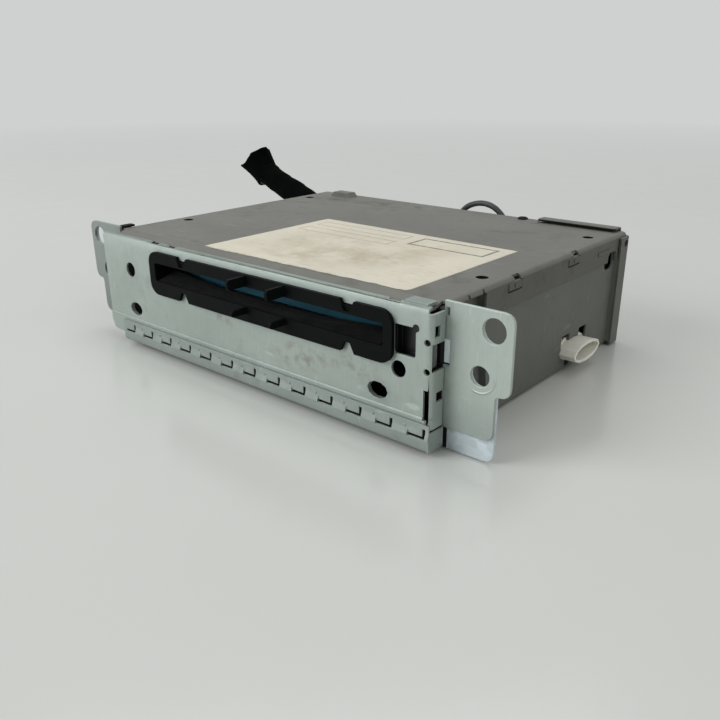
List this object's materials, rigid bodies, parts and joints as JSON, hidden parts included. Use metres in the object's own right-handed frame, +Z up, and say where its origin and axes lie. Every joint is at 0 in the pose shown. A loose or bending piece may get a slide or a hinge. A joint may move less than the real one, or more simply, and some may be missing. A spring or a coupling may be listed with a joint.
{
  "type": "car navigation head unit",
  "caption": "Slot-loading car head unit without its fascia: folded steel case, disc drive on dampers, mounting ears, rear connectors and fan.",
  "frame": {"origin": "centre of the underside of the chassis floor", "axes": "+X to the right along the front, +Y from the front to the rear, +Z up"},
  "size_m": [0.2776, 0.1727, 0.071],
  "materials": {
    "chassis_tub": "zinc plated, dull",
    "top_cover": "zinc plated, warm grey, scuffed",
    "front_plate": "bright zinc plated",
    "contact_rail": "bright zinc plated",
    "mounting_frame": "bright zinc plated",
    "side_bracket_right": "spangled zinc",
    "side_bracket_left": "spangled zinc",
    "rear_plate": "zinc plated, dull",
    "cover_label": "stained paper",
    "slot_bezel": "black",
    "felt_wiper_upper": "felt",
    "felt_wiper_lower": "felt",
    "dust_shutter": "dark, glossy",
    "window_guide": "black",
    "spring_clip": "spring steel",
    "side_sleeve": "cream",
    "main_board": "green laminate with dark parts",
    "board_screw_1": "plated",
    "board_screw_2": "plated",
    "board_screw_3": "plated",
    "board_screw_4": "plated",
    "heat_spreader": "plain",
    "tuner_module": "tinned",
    "main_header": "black",
    "harness_plug": "black",
    "harness_stub": "black cloth tape",
    "aerial_socket_1": "blue",
    "aerial_socket_2": "blue",
    "aerial_socket_3": "blue",
    "jumper_plug_1": "dark",
    "jumper_plug_2": "dark",
    "jumper_lead": "dark grey sheath",
    "fan_frame": "black",
    "fan_rotor": "black",
    "drive_deck": "plain zinc",
    "drive_bridge": "plain zinc",
    "traverse_plate": "plain zinc",
    "damper_1": "soft",
    "damper_2": "soft",
    "damper_3": "soft",
    "damper_4": "soft",
    "roller_shaft": "ground",
    "roller_rubber": "matt",
    "roller_gear": "cream",
    "idler_gear": "cream",
    "compound_gear": "cream",
    "motor_worm": "turned",
    "loading_motor": "plated can",
    "cam_slide": "black",
    "clamp_arm": "plain",
    "clamp_puck": "black",
    "disc_lever_left": "cream",
    "disc_lever_right": "cream",
    "spindle_motor": "plated can",
    "turntable": "black",
    "optical_sled": "dark",
    "guide_rod_front": "ground",
    "guide_rod_rear": "ground",
    "lead_screw": "ground",
    "sled_motor": "plated can"
  },
  "bodies": {
    "chassis": {"chassis_tub": "chassis_tub", "top_cover": "top_cover", "front_plate": "front_plate", "contact_rail": "contact_rail", "mounting_frame": "mounting_frame", "side_bracket_right": "side_bracket_right", "side_bracket_left": "side_bracket_left", "rear_plate": "rear_plate", "cover_label": "cover_label", "slot_bezel": "slot_bezel", "felt_wiper_upper": "felt_wiper_upper", "felt_wiper_lower": "felt_wiper_lower", "window_guide": "window_guide", "spring_clip": "spring_clip", "side_sleeve": "side_sleeve", "main_board": "main_board", "board_screw_1": "board_screw_1", "board_screw_2": "board_screw_2", "board_screw_3": "board_screw_3", "board_screw_4": "board_screw_4", "heat_spreader": "heat_spreader", "tuner_module": "tuner_module", "main_header": "main_header", "harness_plug": "harness_plug", "harness_stub": "harness_stub", "aerial_socket_1": "aerial_socket_1", "aerial_socket_2": "aerial_socket_2", "aerial_socket_3": "aerial_socket_3", "jumper_plug_1": "jumper_plug_1", "jumper_plug_2": "jumper_plug_2", "jumper_lead": "jumper_lead", "fan_frame": "fan_frame", "damper_1": "damper_1", "damper_2": "damper_2", "damper_3": "damper_3", "damper_4": "damper_4"},
    "drive": {"drive_deck": "drive_deck", "drive_bridge": "drive_bridge", "loading_motor": "loading_motor"},
    "traverse": {"traverse_plate": "traverse_plate", "spindle_motor": "spindle_motor", "guide_rod_front": "guide_rod_front", "guide_rod_rear": "guide_rod_rear", "sled_motor": "sled_motor"},
    "cam_slide": {"cam_slide": "cam_slide"},
    "clamp_arm": {"clamp_arm": "clamp_arm"},
    "clamp_puck": {"clamp_puck": "clamp_puck"},
    "roller": {"roller_shaft": "roller_shaft", "roller_rubber": "roller_rubber", "roller_gear": "roller_gear"},
    "idler": {"idler_gear": "idler_gear"},
    "compound_wheel": {"compound_gear": "compound_gear"},
    "worm": {"motor_worm": "motor_worm"},
    "lever_left": {"disc_lever_left": "disc_lever_left"},
    "lever_right": {"disc_lever_right": "disc_lever_right"},
    "turntable": {"turntable": "turntable"},
    "sled": {"optical_sled": "optical_sled"},
    "sled_screw": {"lead_screw": "lead_screw"},
    "shutter": {"dust_shutter": "dust_shutter"},
    "fan": {"fan_rotor": "fan_rotor"}
  },
  "joints": [
    {"name": "drive_float", "type": "slide", "parent": "chassis", "child": "drive", "axis": [0, 0, 1], "range_m": [-0.001, 0.001], "stiffness_N_per_m": 6000, "springref_m": 0.00057},
    {"name": "cam_slide_travel", "type": "slide", "parent": "drive", "child": "cam_slide", "axis": [0, 1, 0], "range_m": [0, 0.008]},
    {"name": "traverse_lift", "type": "slide", "parent": "drive", "child": "traverse", "axis": [0, 0, 1], "range_m": [0, 0.0022]},
    {"name": "clamp_arm_swing", "type": "hinge", "parent": "drive", "child": "clamp_arm", "pos_m": [0.0087, 0.05, 0.0442], "axis": [1, 0, 0], "range_deg": [0, 2.01]},
    {"name": "clamp_puck_spin", "type": "hinge", "parent": "clamp_arm", "child": "clamp_puck", "pos_m": [0.0087, 0.008, 0.0442], "axis": [0, 0, 1], "continuous": true},
    {"name": "turntable_spin", "type": "hinge", "parent": "traverse", "child": "turntable", "pos_m": [0.0087, 0.008, 0.035], "axis": [0, 0, 1], "continuous": true},
    {"name": "sled_travel", "type": "slide", "parent": "traverse", "child": "sled", "axis": [1, 0, 0], "range_m": [-0.034, 0]},
    {"name": "sled_screw_spin", "type": "hinge", "parent": "traverse", "child": "sled_screw", "pos_m": [-0.0298, 0.0335, 0.032], "axis": [1, 0, 0], "range_deg": [-3062, 2]},
    {"name": "roller_spin", "type": "hinge", "parent": "drive", "child": "roller", "pos_m": [0.0087, -0.047, 0.0347], "axis": [1, 0, 0], "continuous": true},
    {"name": "idler_spin", "type": "hinge", "parent": "drive", "child": "idler", "pos_m": [0.0735, -0.03254, 0.0313], "axis": [1, 0, 0], "continuous": true},
    {"name": "compound_spin", "type": "hinge", "parent": "drive", "child": "compound_wheel", "pos_m": [0.0755, -0.01979, 0.0313], "axis": [1, 0, 0], "continuous": true},
    {"name": "worm_spin", "type": "hinge", "parent": "drive", "child": "worm", "pos_m": [0.0775, -0.01979, 0.01945], "axis": [0, 1, 0], "continuous": true},
    {"name": "lever_left_swing", "type": "hinge", "parent": "drive", "child": "lever_left", "pos_m": [-0.0488, -0.02, 0.0423], "axis": [0, 0, 1], "range_deg": [-28.5, 0], "stiffness_Nm_per_rad": 0.002, "springref_deg": 8.59},
    {"name": "lever_right_swing", "type": "hinge", "parent": "drive", "child": "lever_right", "pos_m": [0.0662, -0.02, 0.0423], "axis": [0, 0, 1], "range_deg": [0, 28.5], "stiffness_Nm_per_rad": 0.002, "springref_deg": -8.59},
    {"name": "shutter_swing", "type": "hinge", "parent": "chassis", "child": "shutter", "pos_m": [0.01, -0.0594, 0.0454], "axis": [1, 0, 0], "range_deg": [0, 55], "stiffness_Nm_per_rad": 0.002, "springref_deg": -5.73},
    {"name": "fan_spin", "type": "hinge", "parent": "chassis", "child": "fan", "pos_m": [0.0675, 0.066, 0.026], "axis": [0, 1, 0], "continuous": true}
  ],
  "couplings": [
    {"joint": "traverse_lift", "follows": "cam_slide_travel", "ratio": 0.275},
    {"joint": "clamp_arm_swing", "follows": "cam_slide_travel", "rad_per_m": 4.3633},
    {"joint": "sled_screw_spin", "follows": "sled_travel", "rad_per_m": 1570.8},
    {"joint": "idler_spin", "follows": "roller_spin", "ratio": -0.75},
    {"joint": "compound_spin", "follows": "roller_spin", "ratio": 1.5},
    {"joint": "worm_spin", "follows": "roller_spin", "ratio": 36},
    {"joint": "lever_right_swing", "follows": "lever_left_swing", "ratio": -1}
  ]
}
